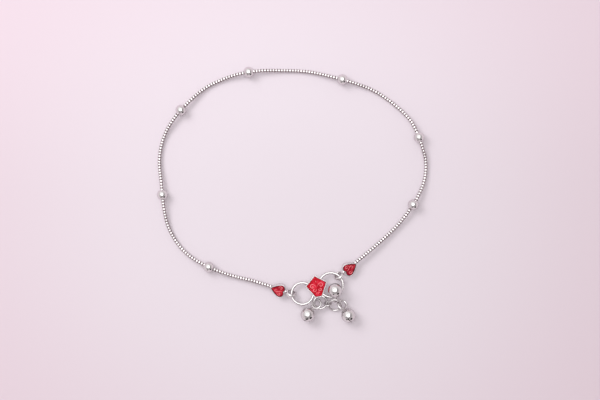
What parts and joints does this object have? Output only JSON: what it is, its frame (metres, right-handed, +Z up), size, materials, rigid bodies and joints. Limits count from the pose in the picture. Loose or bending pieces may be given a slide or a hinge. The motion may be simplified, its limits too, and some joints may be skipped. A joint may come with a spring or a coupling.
{
  "type": "payal anklet",
  "caption": "Silver chain anklet lying closed in a loop: drilled beads, red enamel heart ends, an S-hook with an enamelled setting, and round bells on jump rings.",
  "frame": {"origin": "middle of the anklet's box in X and Y, on the surface that it rests on", "axes": "+X along the longer side of the loop, with the hook at the loop's -Y side; +Z up from the surface"},
  "size_m": [0.0922, 0.0869, 0.0064],
  "materials": {
    "silver_chain": "bright sterling silver, finely woven round chain",
    "silver_polished": "high polish sterling silver",
    "silver_wire": "polished sterling silver wire",
    "silver_cast": "polished cast sterling silver",
    "red_enamel": "glossy translucent red enamel over raised scrolls"
  },
  "bodies": {
    "root": {"bead_1": "silver_polished", "bead_2": "silver_polished", "bead_3": "silver_polished", "bead_4": "silver_polished", "bead_5": "silver_polished", "bead_6": "silver_polished", "bead_7": "silver_polished", "bell_a": "silver_polished", "bell_b": "silver_polished", "bell_c": "silver_polished", "bell_ring": "silver_wire", "chain_left": "silver_chain", "chain_right": "silver_chain", "enamel_heart_left": "red_enamel", "enamel_heart_right": "red_enamel", "enamel_pentagon": "red_enamel", "heart_left": "silver_cast", "heart_right": "silver_cast", "hook": "silver_wire", "link_ring": "silver_wire"}
  },
  "joints": []
}
